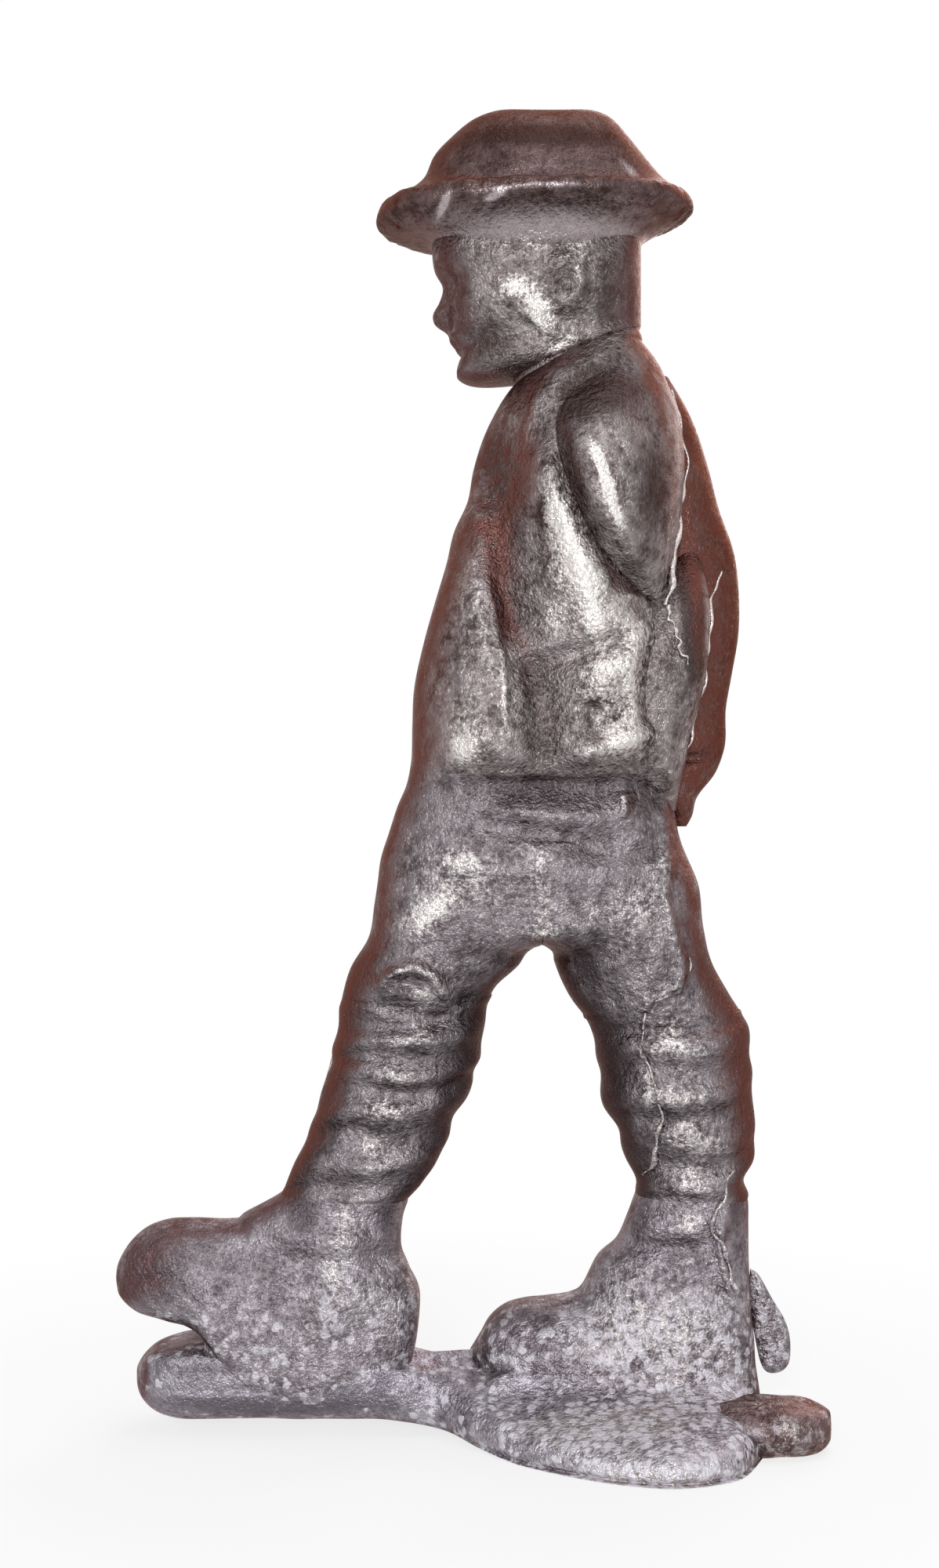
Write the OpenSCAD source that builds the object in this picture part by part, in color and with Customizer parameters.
// Walking toy soldier, home-cast in grey lead in a two-part mould.
// The middle plane y = 0 is the parting plane of the mould, the figure walks towards -x,
// its left side faces -y, z = 0 is the floor.
// Each sculpted form is a loft: sections between a front and a back outline of the middle plane.

/* [Base] */
// Height of the base along the parting plane
base_h = 3.2; // [2.6:0.1:4]
// Length of the base
base_l = 26.8; // [25:0.1:29]
// Width of the mound under the rear boot
base_w = 18.4; // [14:0.2:22]
// Width of the bar under the front boot
bar_w = 5; // [4:0.1:8]
// Place of the front end of the base
base_front_x = -14.4; // [-16:0.1:-13]
// Reach of the stub left by the pouring gate, behind the base
stub_out = 2.7; // [1.5:0.1:4]
// Height of the stub
stub_h = 2; // [1.6:0.1:3]
// Width of the stub
stub_w = 4.4; // [3:0.1:6]

/* [Boots] */
// Height of a boot from the base to the first wrap of the puttee
boot_h = 6.8; // [6:0.1:8]
// Length of the front boot, from heel to toe
front_boot_l = 13.1; // [11:0.1:14]
// Length of the rear boot, from heel to toe
rear_boot_l = 12; // [10:0.1:13]
// Width of a boot across the ball of the foot
boot_w = 5.2; // [4:0.1:6.5]
// Reach of the casting fin behind the rear heel
fin_reach = 1.9; // [0.8:0.1:2.5]
// Thickness of the casting fins
fin_t = 0.4; // [0.3:0.05:0.8]

/* [Puttees] */
// Height of the front puttee
front_shin_h = 8.6; // [7:0.1:10]
// Height of the rear puttee
rear_shin_h = 7.8; // [7:0.1:10]
// Depth of a leg at the ankle, front to back
ankle_d = 5.3; // [4.5:0.1:6]
// Depth of a leg at the knee, front to back
knee_d = 6.5; // [5.5:0.1:7.5]
// Width of a leg at the ankle
ankle_w = 4.4; // [3.5:0.1:5.5]
// Width of a leg at the knee
knee_w = 6; // [5:0.1:7]
// Rise of the wrap in one turn
wrap_pitch = 1.95; // [1.5:0.05:2.6]
// Height of the lower edge of each turn above the turn under it
wrap_step = 0.34; // [0.2:0.02:0.5]

/* [Breeches] */
// Height of the hips above the base
hip_h = 22; // [20:0.1:24]
// Depth of both thighs at the hips, front to back
hip_d = 12.7; // [11:0.1:14]
// Width at the hips
hip_w = 9; // [7:0.1:11]
// Height of the gap between the legs above the base
crotch_h = 17.6; // [16:0.1:18.5]
// Height of the hip band between thighs and tunic
band_h = 3.2; // [2.4:0.1:4]
// Depth of the step from the tunic down to the hip band, on each side
band_step = 0.45; // [0.2:0.05:0.8]

/* [Tunic] */
// Height of the tunic from hem to neck
tunic_h = 16.6; // [15:0.1:18]
// Depth of the tunic at the hem, front to back
tunic_d = 11.2; // [10:0.1:12.5]
// Width of the tunic at the chest
tunic_w = 9.4; // [8:0.1:11]
// Depth of the neck opening, front to back
neck_d = 5.6; // [5:0.1:6.4]
// Width of the neck opening
neck_w = 5.8; // [5:0.1:6.4]
// Height of the collar
collar_h = 0.7; // [0.5:0.05:1]
// Depth of the deepest fold of the cloth
fold_depth = 0.9; // [0.4:0.05:1.1]

/* [Arms] */
// Length of an upper arm, shoulder to elbow
upper_arm_l = 8.1; // [7:0.1:9]
// Length of a forearm with its hand
forearm_l = 8.6; // [7.5:0.1:9.5]
// Radius of the sleeve at the shoulder
shoulder_r = 2.6; // [2:0.05:3]
// Radius of the near sleeve at the elbow
near_elbow_r = 0.6; // [0.5:0.05:1]
// Radius of the near forearm under the elbow
near_forearm_r = 1.1; // [0.8:0.05:1.4]
// Radius of the far sleeve at the elbow
far_elbow_r = 1.75; // [1.2:0.05:2.2]
// Radius of a hand
hand_r = 1.35; // [1:0.05:1.6]

/* [Head] */
// Height of the head from the chin to the seat of the helmet
head_h = 6; // [5.4:0.1:7]
// Depth of the head, brow to back
head_d = 9.1; // [8:0.1:10]
// Width of the head
head_w = 7.4; // [6.4:0.1:8.4]
// Reach of the nose in front of the brow
nose_reach = 0.75; // [0.5:0.05:1.2]
// Height of an ear
ear_h = 2.1; // [1.5:0.1:2.6]
// Reach of an ear to the side
ear_reach = 0.4; // [0.2:0.05:0.7]

/* [Helmet] */
// Height of the helmet from its seat to the crown
helmet_h = 5.5; // [5:0.1:7]
// Length of the brim
brim_l = 13.8; // [12.5:0.1:15]
// Width of the brim
brim_w = 10.8; // [9.6:0.1:12.5]
// Depth of the bowl at its foot, front to back
bowl_l = 10.4; // [9.4:0.1:11.4]
// Width of the bowl at its foot
bowl_w = 8.6; // [8:0.1:9.6]
// Thickness of the brim at its edge
brim_t = 1.1; // [0.8:0.1:1.4]

/* [Hidden] */

// Points around a section, and sections along a form
sides = 26;
// Play between two forms that lie on a sloping surface
seat_gap = 0.04;
lead = [0.42, 0.41, 0.41];
dark_lead = [0.36, 0.33, 0.32];
pale_lead = [0.52, 0.52, 0.53];

// Heights of the planes where one form ends and the next begins
ankle_z = base_h + boot_h;
front_knee_z = ankle_z + front_shin_h;
rear_knee_z = ankle_z + rear_shin_h;
crotch_z = base_h + crotch_h;
hip_z = base_h + hip_h;
hem_z = hip_z + band_h;
neck_z = hem_z + tunic_h;

// Middle of each form in the parting plane, from front to back
front_ankle_x = -5.3;
rear_ankle_x = 9.55;
front_knee_x = -2.4;
rear_knee_x = 8.3;
hip_x = 2.75;
hem_x = 2.95;
neck_x = 4.9;
head_x = 2.9;
helmet_x = 2.8;
near_shoulder_x = 6.2;
far_shoulder_x = 7.3;
near_elbow_x = 8.2;
far_elbow_x = 10.35;
near_hand_x = 9;
far_hand_x = 9.75;

// Ends of the base along its length
base_rear_x = base_front_x + base_l;
// How far the front bar is lifted off the floor, and the height of the tip of its round front end,
// as shares of the height of the base
bar_lift_share = 0.22;
bar_tip_share = 0.68;

// Half outline of a section of the base, as shares of its half width and its height
bar_shares = [[0, 1], [0.5, 0.99], [0.86, 0.9], [0.98, 0.72], [1, 0.5], [0.95, 0.2], [0.7, 0], [0, 0]];
mound_shares = [[0, 1], [0.3, 0.72], [0.6, 0.56], [0.85, 0.42], [1, 0.2], [0.98, 0.06], [0.92, 0], [0, 0]];
// Along the base: place share, then height, change from bar to mound, and width of the mound
base_shares = [
    [0, [1.15, 0, 0]], [0.3, [1.13, 0, 0]], [0.42, [1, 0.1, 0]],
    [0.5, [1, 0.5, 0.04]], [0.55, [1, 0.8, 0.28]], [0.61, [1, 1, 0.52]], [0.69, [1, 1, 0.77]],
    [0.77, [1, 1, 0.94]], [0.84, [1, 1, 1]], [0.9, [1, 1, 0.93]], [0.95, [0.97, 1, 0.76]], [1, [0.8, 1, 0.25]]
];
base_steps = 25;

// A value a share of the way from a to b
function mix(a, b, t) = a + (b - a) * t;

// The row of a table that a place lies in
function row_of(rows, t, k = 0) = k >= len(rows) - 2 || rows[k + 1][0] > t ? k : row_of(rows, t, k + 1);

// Slope of a table at one of its rows
function slope_at(rows, k) =
    let (a = max(k - 1, 0), b = min(k + 1, len(rows) - 1))
    (rows[b][1] - rows[a][1]) / (rows[b][0] - rows[a][0]);

// Smooth curve through the rows of a table, each a place share and the value there
function curve(rows, t) =
    let (
        k = row_of(rows, t),
        step = rows[k + 1][0] - rows[k][0],
        u = (t - rows[k][0]) / step
    )
    rows[k][1] * (1 - u) * (1 - u) * (1 + 2 * u) + rows[k + 1][1] * u * u * (3 - 2 * u)
    + (slope_at(rows, k) * (1 - u) - slope_at(rows, k + 1) * u) * u * (1 - u) * step;

// Cosine and sine drawn out to a rounded rectangle: power 2 is an ellipse
function squared(c, power) = sign(c) * pow(abs(c), 2 / power);

// A closed section between a front and a back point of the parting plane, each [x, z]:
// a rounded rectangle whose points lie at even angles along its depth
function section(front, back, half_w, power = 2.3, count = sides) =
    let (middle = (front + back) / 2, reach = (front - back) / 2)
    [for (i = [0:count - 1])
        let (
            a = 360 * i / count,
            along = cos(a),
            across = sign(sin(a)) * pow(max(1 - pow(abs(along), power), 0), 1 / power)
        )
        [middle[0] + reach[0] * along, half_w * across, middle[1] + reach[1] * along]
    ];

// A closed solid through sections with the same number of points
module loft(rings) {
    count = len(rings[0]);
    last = (len(rings) - 1) * count;
    walls = [
        for (k = [0:len(rings) - 2], i = [0:count - 1])
            let (a = k * count + i, b = k * count + (i + 1) % count)
            each [[a, b + count, a + count], [a, b, b + count]]
    ];
    foot = [for (i = [count - 1:-1:0]) i];
    top = [for (i = [0:count - 1]) last + i];
    polyhedron(points = [for (ring = rings, p = ring) p], faces = concat(walls, [foot, top]), convexity = 4);
}

// Half section of the base: bar in front, mound behind
function base_shape(x) = min(max(base_row(x)[1], 0), 1);
function base_row(x) = curve(base_shares, min(max((x - base_front_x) / base_l, 0), 1));
function base_half_w(x) = mix(bar_w, base_w, base_row(x)[2]) / 2 * base_taper(x);
function base_top(x) = base_h * base_row(x)[0];
function base_lift(x) = base_h * bar_lift_share * (1 - base_shape(x));
// Rounds the front end of the base, in plan and in height
function base_taper(x) =
    let (from_end = (x - base_front_x) / (bar_w / 2))
    from_end >= 1 ? 1 : sqrt(max(1 - pow(1 - from_end, 2), 0.02));
function base_outline(x) =
    let (shape = base_shape(x))
    [for (k = [0:len(bar_shares) - 1])
        let (
            share = mix(bar_shares[k], mound_shares[k], shape),
            z = mix(base_lift(x), base_top(x), share[1])
        )
        [share[0] * base_half_w(x), mix(base_h * bar_tip_share, z, base_taper(x))]
    ];
function base_section(x) =
    let (half = base_outline(x), n = len(half))
    concat(
        [for (k = [0:n - 1]) [x, half[k][0], half[k][1]]],
        [for (k = [n - 2:-1:1]) [x, -half[k][0], half[k][1]]]
    );
// Height of the base at a place on its top
function ground(x, y) =
    x < base_front_x || x > base_rear_x ? 0 :
    let (half = base_outline(x))
    lookup(abs(y), [for (k = [0:4]) half[k]]);

module base_body() {
    loft([
        for (k = [0:base_steps])
            base_section(mix(base_front_x, base_rear_x, (1 - cos(180 * k / base_steps)) / 2))
    ]);
}

module base() {
    color(pale_lead) base_body();
}

// Ends of the legs: middle x, height, depth and width
front_ankle = [front_ankle_x, ankle_z, ankle_d, ankle_w];
rear_ankle = [rear_ankle_x, ankle_z, ankle_d, ankle_w];
front_knee = [front_knee_x, front_knee_z, knee_d, knee_w];
rear_knee = [rear_knee_x, rear_knee_z, knee_d, knee_w];

// Bulge of a puttee to the front, to the back and in width, from ankle to knee
front_shin_shares = [
    [0, [0, 0, 0]], [0.14, [0, 0.06, 0.02]], [0.3, [-0.03, 0.09, 0.08]], [0.55, [-0.07, 0.09, 0.1]],
    [0.8, [-0.07, 0.06, 0.05]], [1, [0, 0, 0]]
];
rear_shin_shares = [
    [0, [0, 0, 0]], [0.14, [-0.03, 0.02, 0.02]], [0.3, [-0.05, 0.03, 0.08]], [0.55, [-0.02, 0.05, 0.1]],
    [0.8, [-0.02, 0.05, 0.05]], [1, [0, 0, 0]]
];
// Swell of one turn of the wrap, from its lower edge to the edge of the next turn
wrap_shares = [[0, 0.15], [0.12, 1], [0.45, 0.9], [0.85, 0.1], [1, 0]];
shin_steps = 28;
// Rise of the wrap from one turn to the next, which makes it a spiral around the leg
function wrap_swell(z, a) =
    let (turn = z / wrap_pitch + a / 360)
    wrap_step * lookup(turn - floor(turn), wrap_shares);

// A puttee: a leg wound with a strip of cloth that climbs one pitch in each turn
module puttee(foot, top, shares) {
    loft([
        for (k = [0:shin_steps])
            let (
                t = k / shin_steps,
                s = mix(foot, top, t),
                bulge = curve(shares, t),
                edge = min(min(t, 1 - t) * shin_steps, 1)
            )
            [for (i = [0:sides - 1])
                let (
                    a = 360 * i / sides,
                    swell = edge * wrap_swell(s[1] - foot[1], a),
                    half_d = s[2] * (1 + bulge[0] + bulge[1]) / 2 + swell,
                    half_w = s[3] * (1 + bulge[2]) / 2 + swell,
                    middle = s[0] + s[2] * (bulge[1] - bulge[0]) / 2
                )
                [middle - half_d * squared(cos(a), 2.2), half_w * squared(sin(a), 2.2), s[1]]
            ]
    ]);
}

module front_puttee() {
    color(lead) puttee(front_ankle, front_knee, front_shin_shares);
}

module rear_puttee() {
    color(lead) puttee(rear_ankle, rear_knee, rear_shin_shares);
}

// Places of the heels, from the ankles
heel_share = 0.585;
front_heel_x = front_ankle_x + ankle_d * heel_share;
rear_heel_x = rear_ankle_x + ankle_d * heel_share * 0.84;
// Sections of a boot fan out from the ankle to the toe: upper and lower point of each, as shares of
// the length from the heel and of the height, then the width as a share of the width of the boot
front_boot_shares = [
    [0.09, [-0.466, 0.934, -0.053, 0.765, 0.84]],
    [0.18, [-0.52, 0.88, -0.042, 0.53, 0.85]],
    [0.27, [-0.576, 0.853, -0.004, 0.3, 0.88]],
    [0.36, [-0.626, 0.843, 0, 0.1, 0.92]],
    [0.45, [-0.664, 0.838, -0.03, -0.1, 0.95]],
    [0.55, [-0.7, 0.834, -0.214, -0.2, 0.97]],
    [0.66, [-0.763, 0.83, -0.52, -0.15, 1]],
    [0.78, [-0.855, 0.81, -0.763, 0.17, 0.96]],
    [0.88, [-0.924, 0.75, -0.893, 0.27, 0.8]],
    [0.95, [-0.982, 0.64, -0.962, 0.37, 0.5]],
    [1, [-1, 0.53, -0.997, 0.47, 0.16]]
];
rear_boot_shares = [
    [0.09, [-0.442, 0.853, -0.004, 0.765, 0.84]],
    [0.18, [-0.483, 0.72, -0.004, 0.53, 0.85]],
    [0.27, [-0.546, 0.603, 0, 0.27, 0.88]],
    [0.36, [-0.596, 0.456, -0.004, 0, 0.92]],
    [0.45, [-0.638, 0.368, -0.03, -0.2, 0.95]],
    [0.55, [-0.688, 0.346, -0.304, -0.3, 0.97]],
    [0.66, [-0.763, 0.338, -0.596, -0.35, 1]],
    [0.78, [-0.846, 0.324, -0.796, -0.35, 0.96]],
    [0.88, [-0.913, 0.272, -0.904, -0.3, 0.8]],
    [0.95, [-0.963, 0.162, -0.963, -0.25, 0.55]],
    [1, [-0.99, 0.06, -0.99, 0.0, 0.2]]
];
boot_steps = 17;
boot_sides = 20;

// Keeps a section on or above the base
function seated(ring) = [for (p = ring) [p[0], p[1], max(p[2], ground(p[0], p[1]) + seat_gap)]];

module boot(ankle, heel_x, length, shares) {
    start = [0, [
        (ankle[0] - ankle[2] / 2 - heel_x) / length, 1,
        (ankle[0] + ankle[2] / 2 - heel_x) / length, 1, ankle[3] / boot_w
    ]];
    rows = concat([start], shares);
    loft([
        for (k = [boot_steps:-1:0])
            let (p = curve(rows, k / boot_steps))
            seated(section(
                [heel_x + length * p[0], base_h + boot_h * p[1]],
                [heel_x + length * p[2], base_h + boot_h * p[3]],
                boot_w / 2 * p[4], 2.5, boot_sides
            ))
    ]);
}

module front_boot() {
    color(pale_lead) boot(front_ankle, front_heel_x, front_boot_l, front_boot_shares);
}

module rear_boot() {
    color(pale_lead) boot(rear_ankle, rear_heel_x, rear_boot_l, rear_boot_shares);
}

// Line where the two thighs meet, above the gap between the legs
split_x = hip_x + hip_d * 0.035;
thigh_width_share = 0.93;
// Swell of a thigh at its outer edge and in width, from knee to hip
front_thigh_shares = [
    [0, [0, 0]], [0.25, [-0.02, 0.02]], [0.45, [-0.03, 0.06]], [0.75, [-0.01, 0.08]], [1, [0, 0]]
];
rear_thigh_shares = [
    [0, [0, 0]], [0.3, [-0.03, 0.02]], [0.5, [-0.015, 0.06]], [0.8, [0.015, 0.08]], [1, [0, 0]]
];
// Way of the inner edge from the knee to the middle of the hips, up to the gap between the legs
front_inner_shares = [[0, 0], [0.3, 0.25], [0.75, 0.66], [1, 1]];
rear_inner_shares = [[0, 0], [0.15, 0.23], [0.5, 0.58], [0.85, 0.8], [1, 1]];
thigh_steps = 10;

// A thigh, on the side of the front (-1) or of the back (1)
module thigh(knee, way, outer_shares, inner_shares) {
    outer_knee = knee[0] + way * knee[2] / 2;
    inner_knee = knee[0] - way * knee[2] / 2;
    outer_hip = hip_x + way * hip_d / 2;
    loft([
        for (k = [0:thigh_steps])
            let (
                t = k / thigh_steps,
                z = mix(knee[1], hip_z, t),
                swell = curve(outer_shares, t),
                outer = mix(outer_knee, outer_hip, t) + way * hip_d * swell[0],
                climb = min((z - knee[1]) / (crotch_z - knee[1]), 1),
                inner = mix(inner_knee, split_x, curve(inner_shares, climb)),
                half_w = mix(knee[3], hip_w * thigh_width_share, t) / 2 * (1 + swell[1])
            )
            section([min(outer, inner), z], [max(outer, inner), z], half_w, mix(2.2, 2.8, t))
    ]);
}

module front_breeches_leg() {
    color(lead) thigh(front_knee, -1, front_thigh_shares, front_inner_shares);
}

module rear_breeches_leg() {
    color(lead) thigh(rear_knee, 1, rear_thigh_shares, rear_inner_shares);
}

// Sections of the hip band, from the thighs to the tunic: place share and roundness share
band_shares = [[0, 0.7], [0.12, 0.15], [0.5, 0.4], [0.88, 0.1], [1, 0]];
band_steps = 6;

module hip_band_body() {
    loft([
        for (k = [0:band_steps])
            let (
                t = k / band_steps,
                z = mix(hip_z, hem_z, t),
                half_d = mix(hip_d, tunic_d, t) / 2,
                middle = mix(hip_x, hem_x, t),
                half_w = tunic_w / 2 - band_step * (1 - curve(band_shares, t) / 2)
            )
            section([middle - half_d, z], [middle + half_d, z], half_w, 2.6)
    ]);
}

module hip_band() {
    color(dark_lead) hip_band_body();
}

// Tunic, hem to neck: inset of the front and of the back as shares of its depth,
// width as a share of the chest, and tilt of the section as a share of the tilt of the neck
tunic_shares = [
    [0, [0, 0, 1, 0]], [0.05, [0.01, 0, 1, 0]], [0.18, [0.018, -0.01, 0.94, 0]],
    [0.31, [0.06, -0.03, 0.93, 0]], [0.43, [0.106, -0.02, 0.95, 0.02]], [0.55, [0.148, -0.01, 0.98, 0.06]],
    [0.68, [0.204, -0.04, 1, 0.14]], [0.8, [0.25, -0.065, 0.97, 0.3]], [0.88, [0.3, -0.05, 0.9, 0.5]],
    [0.95, [0.36, 0.005, 0.78, 0.8]]
];
// Rise of the neck opening from front to back
neck_rise_share = 0.32;
neck_front = [neck_x - neck_d / 2, neck_z];
neck_back = [neck_x + neck_d / 2, neck_z + neck_d * neck_rise_share];
// Folds of the tunic: height as a share of the depth of the deepest fold, less than 0 for a groove,
// width as a share of the height of the tunic, and the points that the fold runs through, as shares
// of the depth and height of the tunic from the front of the hem
fold_shares = [
    [-0.95, 0.085, [[0.32, 0.88], [0.35, 0.74], [0.37, 0.58], [0.39, 0.43], [0.43, 0.29]]],
    [0.75, 0.06, [[0.23, 0.57], [0.26, 0.43], [0.29, 0.275], [0.32, 0.155], [0.33, 0]]],
    [-0.65, 0.06, [[0.47, 0.29], [0.5, 0.2], [0.53, 0]]],
    [0.65, 0.065, [[0.5, 0.82], [0.565, 0.7], [0.64, 0.55], [0.71, 0.39], [0.75, 0.255]]],
    [-0.4, 0.055, [[0.6, 0.28], [0.73, 0.34], [0.88, 0.35]]],
    [0.3, 0.06, [[0.6, 0.08], [0.82, 0.13]]]
];
tunic_steps = 26;
tunic_sides = 40;

// Distance of a point from a line between two points
function line_distance(p, a, b) =
    let (along = min(max((p - a) * (b - a) / ((b - a) * (b - a)), 0), 1))
    norm(p - a - (b - a) * along);

// Distance of a point from a line through a row of points
function way_distance(p, points) =
    min([for (k = [0:len(points) - 2]) line_distance(p, points[k], points[k + 1])]);

// Height of the folds at a place of the side of the tunic
function folds(x, z) =
    let (corner = [hem_x - tunic_d / 2, hem_z])
    fold_depth * vector_sum([for (f = fold_shares)
        let (points = [for (q = f[2]) corner + [q[0] * tunic_d, q[1] * tunic_h]])
        f[0] * exp(-pow(way_distance([x, z], points) / (f[1] * tunic_h), 2))
    ]);
function vector_sum(v) = v * [for (i = v) 1];

module tunic_body() {
    neck = [1, [
        0.5 + (neck_front[0] - hem_x) / tunic_d,
        0.5 - (neck_back[0] - hem_x) / tunic_d,
        neck_w / tunic_w, 1
    ]];
    rows = concat(tunic_shares, [neck]);
    loft([
        for (k = [0:tunic_steps])
            let (
                t = k / tunic_steps,
                p = curve(rows, t),
                z = mix(hem_z, neck_z, t),
                front = [hem_x - tunic_d * (0.5 - p[0]), z],
                back = [hem_x + tunic_d * (0.5 - p[1]), z + p[3] * neck_d * neck_rise_share],
                fade = min(min(t, 1 - t) * 8, 1)
            )
            [for (q = section(front, back, tunic_w / 2 * p[2], 2.5, tunic_sides))
                [q[0], q[1] + q[1] / (tunic_w / 2) * fade * folds(q[0], q[2]), q[2]]]
    ]);
}

module tunic() {
    color(lead) tunic_body();
}

collar_steps = 4;
collar_round_share = 0.35;
// Ends of the plane between the collar and the head
collar_front = neck_front + [collar_h * 0.3, collar_h * 0.4];
collar_back = neck_back + [-collar_h * 0.4, collar_h];
collar_w = neck_w - collar_h * 0.4;

module collar_body() {
    loft([
        for (k = [0:collar_steps])
            let (
                t = k / collar_steps,
                swell = collar_h * collar_round_share * sin(180 * t),
                way = [swell, 0]
            )
            section(
                mix(neck_front, collar_front, t) - way, mix(neck_back, collar_back, t) + way,
                mix(neck_w, collar_w, t) / 2 + swell, 2.5
            )
    ]);
}

module collar() {
    color(lead) collar_body();
}

// A limb from round sections hulled in pairs: each row is a place share, then
// the shares of the way [towards the end, out to the back] and the share of the radius
limb_links = 8;
module limb(start, end, start_r, end_r, flat, swell_shares) {
    for (k = [0:limb_links - 1])
        hull()
            for (t = [k / limb_links, (k + 1) / limb_links])
                let (swell = curve(swell_shares, t))
                translate(mix(start, end, t) + [mix(start_r, end_r, t) * swell[0], 0, 0])
                    scale([1, flat, 1])
                        sphere(mix(start_r, end_r, t) * swell[1], $fn = 14);
}

// Arms: places of shoulder, elbow and hand
shoulder_z = neck_z - shoulder_r * 0.7;
arm_y = tunic_w / 2 - shoulder_r * 0.3;
near_elbow_z = shoulder_z - sqrt(pow(upper_arm_l, 2) - pow(near_elbow_x - near_shoulder_x, 2));
far_elbow_z = shoulder_z - sqrt(pow(upper_arm_l, 2) - pow(far_elbow_x - far_shoulder_x, 2));
near_elbow_y = arm_y * 0.75;
far_elbow_y = arm_y * 0.7;
hand_y = hand_r * 1.05;
flat_share = 0.78;
near_sleeve_shares = [
    [0, [0, 0.76]], [0.12, [-0.02, 0.95]], [0.28, [-0.1, 1.24]], [0.5, [-0.12, 1.34]], [0.7, [-0.12, 1.2]],
    [0.88, [-0.1, 0.95]], [1, [0, 0.7]]
];
far_sleeve_shares = [[0, [0, 1]], [0.2, [0.06, 1.05]], [0.5, [0.12, 1.05]], [0.8, [0.05, 1]], [1, [0, 1]]];
near_forearm_shares = [
    [0, [0.8, 1]], [0.25, [0.7, 1.1]], [0.6, [0.4, 1]], [0.85, [0.1, 1.02]], [1, [0, 0.92]]
];
far_forearm_shares = [
    [0, [0, 1]], [0.3, [0.1, 0.98]], [0.6, [0.12, 0.94]], [0.85, [0.05, 1.02]], [1, [0, 0.92]]
];

module left_sleeve_body() {
    limb(
        [near_shoulder_x, -arm_y, shoulder_z], [near_elbow_x, -near_elbow_y, near_elbow_z],
        shoulder_r, near_elbow_r, flat_share, near_sleeve_shares
    );
}

module right_sleeve_body() {
    limb(
        [far_shoulder_x, arm_y, shoulder_z], [far_elbow_x, far_elbow_y, far_elbow_z],
        shoulder_r, far_elbow_r, flat_share, far_sleeve_shares
    );
}

module left_forearm_body() {
    limb(
        [near_elbow_x, -near_elbow_y, near_elbow_z],
        [near_hand_x, -hand_y, near_elbow_z - forearm_l + hand_r],
        near_forearm_r, hand_r, 1, near_forearm_shares
    );
}

module right_forearm_body() {
    limb(
        [far_elbow_x, far_elbow_y, far_elbow_z],
        [far_hand_x, hand_y, far_elbow_z - forearm_l + hand_r],
        far_elbow_r, hand_r, 1, far_forearm_shares
    );
}

// Head: front and back of each section as shares of the depth from the brow line and of the height
// above the chin, then the width as a share
head_front_x = head_x - head_d / 2;
seat_z = neck_z + head_h;
head_shares = [
    [0.06, [0.34, 0.02, 1, 0.42, 0.76]],
    [0.14, [0.2, 0.01, 1, 0.46, 0.78]],
    [0.22, [0.13, 0.06, 1, 0.49, 0.8]],
    [0.3, [0.115, 0.15, 1, 0.53, 0.83]],
    [0.38, [0.12, 0.22, 1, 0.57, 0.87]],
    [0.46, [0.085, 0.3, 1, 0.61, 0.91]],
    [0.56, [0.075, 0.42, 1, 0.66, 0.95]],
    [0.68, [0.06, 0.55, 1, 0.74, 0.98]],
    [0.8, [0.05, 0.7, 1, 0.82, 1]],
    [0.9, [0.0, 0.84, 1, 0.92, 1]],
    [1, [0.0, 1, 1, 1, 0.98]]
];
head_steps = 20;
head_sides = 30;
// Heights and reaches of the features of the face, as shares of the head
nose_shares = [[0, 0], [0.38, 0], [0.43, 0.75], [0.49, 1], [0.6, 0.6], [0.74, 0.12], [0.82, 0], [1, 0]];
lip_shares = [
    [0, 0], [0.08, 0.5], [0.14, 0.3], [0.2, -0.15], [0.26, 0.3], [0.3, 0.05], [0.34, 0.4], [0.39, 0], [1, 0]
];
nose_w_share = 0.1;
lip_w_share = 0.2;
eye_share = [0.7, 0.2];
ear_share = [0.6, 0.6];
eye_size_share = 0.095;

// Rise of a smooth bump, 1 at its middle, with the distance from there as a share of its width
function bump(from_middle) = exp(-pow(from_middle, 2));

// Gives a section of the head its nose, lips, eye sockets and ears
function face(ring) = [for (p = ring)
    let (
        high = min(max((p[2] - neck_z) / head_h, 0), 1),
        side = abs(p[1]) / head_w,
        in_front = p[0] < head_x ? nose_reach : 0,
        nose = curve(nose_shares, high) * bump(side / nose_w_share),
        lip = curve(lip_shares, high) / 2 * bump(side / lip_w_share),
        eye = bump((high - eye_share[0]) / eye_size_share) * bump((side - eye_share[1]) / eye_size_share) / 2,
        ear = bump(pow(norm([
            (p[0] - head_front_x - head_d * ear_share[0]) / (ear_h / 2),
            (p[2] - neck_z - head_h * ear_share[1]) / (ear_h * 0.6)
        ]), 2))
    )
    [p[0] - in_front * (nose + lip - eye), p[1] + sign(p[1]) * ear_reach * ear, p[2]]
];

module head() {
    start = [0, [
        (collar_front[0] - head_front_x) / head_d, (collar_front[1] - neck_z) / head_h,
        (collar_back[0] - head_front_x) / head_d, (collar_back[1] - neck_z) / head_h,
        collar_w / head_w
    ]];
    rows = concat([start], head_shares);
    color(lead)
        loft([
            for (k = [0:head_steps])
                let (t = k / head_steps, p = curve(rows, t))
                face(section(
                    [head_front_x + head_d * p[0], neck_z + head_h * p[1]],
                    [head_front_x + head_d * p[2], neck_z + head_h * p[3]],
                    head_w / 2 * p[4], 2.4, head_sides
                ))
        ]);
}

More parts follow.
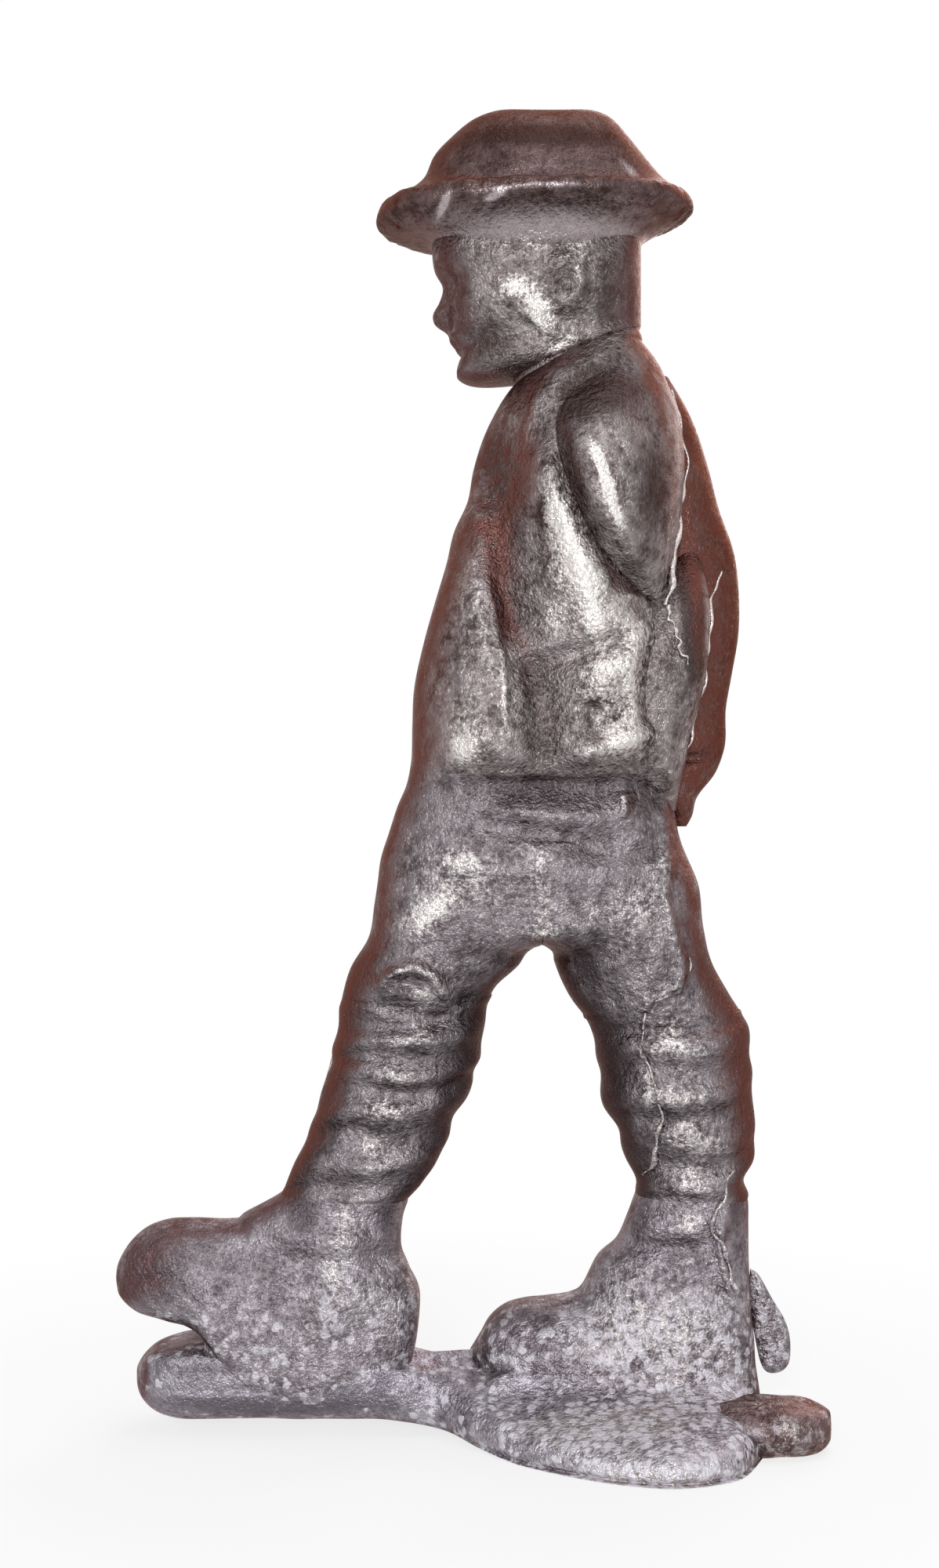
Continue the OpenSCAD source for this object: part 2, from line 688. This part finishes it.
// Helmet, from the crown to its seat: place share, then the share of the bowl, the share of the
// brim beyond the bowl, and the height as shares of the helmet and of the edge of the brim
helmet_shares = [
    [0, [0.23, 0, 0.99, 0]], [0.06, [0.4, 0, 1, 0]], [0.12, [0.54, 0, 0.95, 0]], [0.2, [0.68, 0, 0.86, 0]],
    [0.3, [0.8, 0, 0.74, 0]], [0.42, [0.92, 0, 0.6, 0]], [0.52, [0.99, 0.04, 0.48, 0]],
    [0.6, [1, 0.35, 0.36, 0.15]], [0.68, [1, 0.78, 0.25, 0.4]], [0.76, [1, 0.97, 0.21, 0.3]],
    [0.82, [1, 1, 0.21, 0]], [0.88, [1, 0.9, 0.2, -0.4]], [0.95, [1, 0.45, 0.14, -0.6]], [1, [1, 0.1, 0, 0]]
];
// Slope of the brim from front to back
brim_rise_share = 0.022;
bowl_x = helmet_x + 0.03 * brim_l;
helmet_steps = 19;
helmet_sides = 32;

module helmet() {
    color(dark_lead)
        loft([
            for (k = [helmet_steps:-1:0])
                let (
                    p = curve(helmet_shares, k / helmet_steps),
                    half_l = (bowl_l * p[0] + (brim_l - bowl_l) * p[1]) / 2,
                    half_w = (bowl_w * p[0] + (brim_w - bowl_w) * p[1]) / 2,
                    middle = mix(bowl_x, helmet_x, p[1]),
                    z = max(seat_z + helmet_h * p[2] + brim_t * p[3], seat_z),
                    rise = brim_l * brim_rise_share * p[1] * (k == helmet_steps ? 0 : 1)
                )
                section([middle - half_l, z], [middle + half_l, z + rise], half_w, 2.1, helmet_sides)
        ]);
}

module left_upper_sleeve() {
    color(lead)
        difference() {
            left_sleeve_body();
            tunic_body();
            collar_body();
        }
}

module right_upper_sleeve() {
    color(lead)
        difference() {
            right_sleeve_body();
            tunic_body();
            collar_body();
        }
}

module left_forearm() {
    color(lead)
        difference() {
            left_forearm_body();
            left_sleeve_body();
            tunic_body();
            hip_band_body();
        }
}

module right_forearm() {
    color(lead)
        difference() {
            right_forearm_body();
            right_sleeve_body();
            tunic_body();
            hip_band_body();
            left_forearm_body();
        }
}

// Stub of the pouring gate at the rear end of the base: sections of a rounded bar that shrink to
// a blunt end, from inside the base to behind it
stub_y = -3.6;
stub_in = stub_out * 0.55;
stub_lift_share = 0.05;
stub_blunt_share = 0.35;
stub_round_share = 0.45;
stub_steps = 8;
stub_sides = 16;
module pour_gate_stub() {
    color(dark_lead)
        difference() {
            loft([
                for (k = [0:stub_steps])
                    let (
                        t = k / stub_steps,
                        from_bar = max(t - 1 + stub_round_share, 0) / stub_round_share,
                        size = mix(stub_blunt_share, 1, sqrt(1 - pow(from_bar, 2)))
                    )
                    [for (i = [0:stub_sides - 1])
                        let (a = -360 * i / stub_sides)
                        [
                            mix(base_rear_x - stub_in, base_rear_x + stub_out, t),
                            stub_y + stub_w / 2 * size * squared(cos(a), 2.8),
                            stub_h / 2 * (1 + 2 * stub_lift_share + size * squared(sin(a), 2.8))
                        ]]
            ]);
            base_body();
        }
}

// Outline of the fin behind the rear heel, as shares of its reach and of its height
heel_fin_shares = [
    [0, 1], [0.25, 0.93], [0.56, 0.72], [0.88, 0.5], [1, 0.33], [0.97, 0.13], [0.65, 0.03], [0.3, 0.08],
    [0.1, 0.2], [0, 0.4]
];
heel_fin_h = boot_h * 0.7;
heel_fin_z = base_h * 0.7;

// A thin fin in the parting plane, from an outline of [x, z] points
module fin(outline) {
    rotate([90, 0, 0])
        translate([0, 0, -fin_t / 2])
            linear_extrude(fin_t)
                polygon(outline);
}

module heel_flash() {
    color(lead)
        difference() {
            fin([for (p = heel_fin_shares)
                [rear_heel_x + seat_gap * 2 + fin_reach * p[0], heel_fin_z + heel_fin_h * p[1]]]);
            base_body();
        }
}

// Reach of the fin on the front shin along its height, as shares
shin_fin_shares = [[0, 0.1], [0.2, 0.9], [0.45, 0.55], [0.7, 1], [1, 0.1]];
shin_fin_reach = fin_t * 0.9;
shin_fin_low_share = 0.3;
shin_fin_high_share = 0.7;
shin_fin_steps = 12;
module shin_flash() {
    places = [for (k = [0:shin_fin_steps]) k / shin_fin_steps];
    edge = [for (u = places)
        let (t = mix(shin_fin_low_share, shin_fin_high_share, u))
        [shin_front(t) - seat_gap, mix(ankle_z, front_knee_z, t)]];
    rim = [for (k = [shin_fin_steps:-1:0])
        edge[k] - [shin_fin_reach * curve(shin_fin_shares, places[k]), 0]];
    color(lead) fin(concat(edge, rim));
}
// Front of the front puttee in the parting plane
function shin_front(t) =
    let (s = mix(front_ankle, front_knee, t), bulge = curve(front_shin_shares, t))
    s[0] - s[2] * (0.5 + bulge[0]) - wrap_step;

base();
pour_gate_stub();
front_boot();
rear_boot();
heel_flash();
front_puttee();
rear_puttee();
shin_flash();
front_breeches_leg();
rear_breeches_leg();
hip_band();
tunic();
collar();
left_upper_sleeve();
left_forearm();
right_upper_sleeve();
right_forearm();
head();
helmet();
